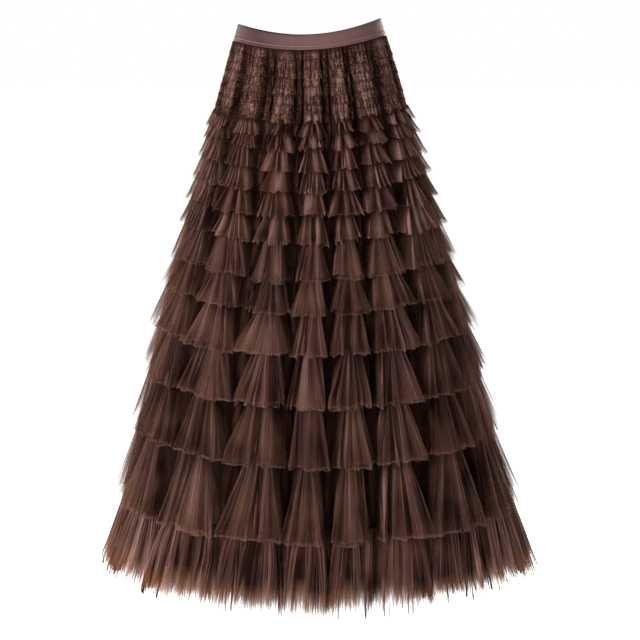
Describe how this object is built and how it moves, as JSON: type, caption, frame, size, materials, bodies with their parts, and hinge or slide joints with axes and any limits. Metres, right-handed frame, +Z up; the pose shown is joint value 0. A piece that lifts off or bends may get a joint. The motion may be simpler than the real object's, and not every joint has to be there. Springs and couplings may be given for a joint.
{
  "type": "tiered ruffle skirt",
  "caption": "Long A-line tulle skirt in its worn, hollow shape: an elastic waistband, a narrow ruched yoke and rows of gathered ruffles that deepen towards a raw hem.",
  "frame": {"origin": "centre of the waistband's top, at the height of its sides, where a waist holds the skirt", "axes": "+Z up through the waist, the front faces -Y, the wearer's left is at +X"},
  "size_m": [0.7024, 0.6016, 0.882],
  "materials": {
    "band_satin": "satin elastic, mauve brown, fine lengthwise ribs",
    "foundation_tulle": "matte dark brown tulle",
    "tulle": "matte chocolate tulle, fine net"
  },
  "bodies": {
    "root": {"waistband": "band_satin", "foundation_skirt": "foundation_tulle", "ruched_yoke": "tulle", "ruffle_01": "tulle", "ruffle_02": "tulle", "ruffle_03": "tulle", "ruffle_04": "tulle", "ruffle_05": "tulle", "ruffle_06": "tulle", "ruffle_07": "tulle", "ruffle_08": "tulle", "ruffle_09": "tulle", "ruffle_10": "tulle", "ruffle_11": "tulle", "ruffle_12": "tulle"}
  },
  "joints": []
}
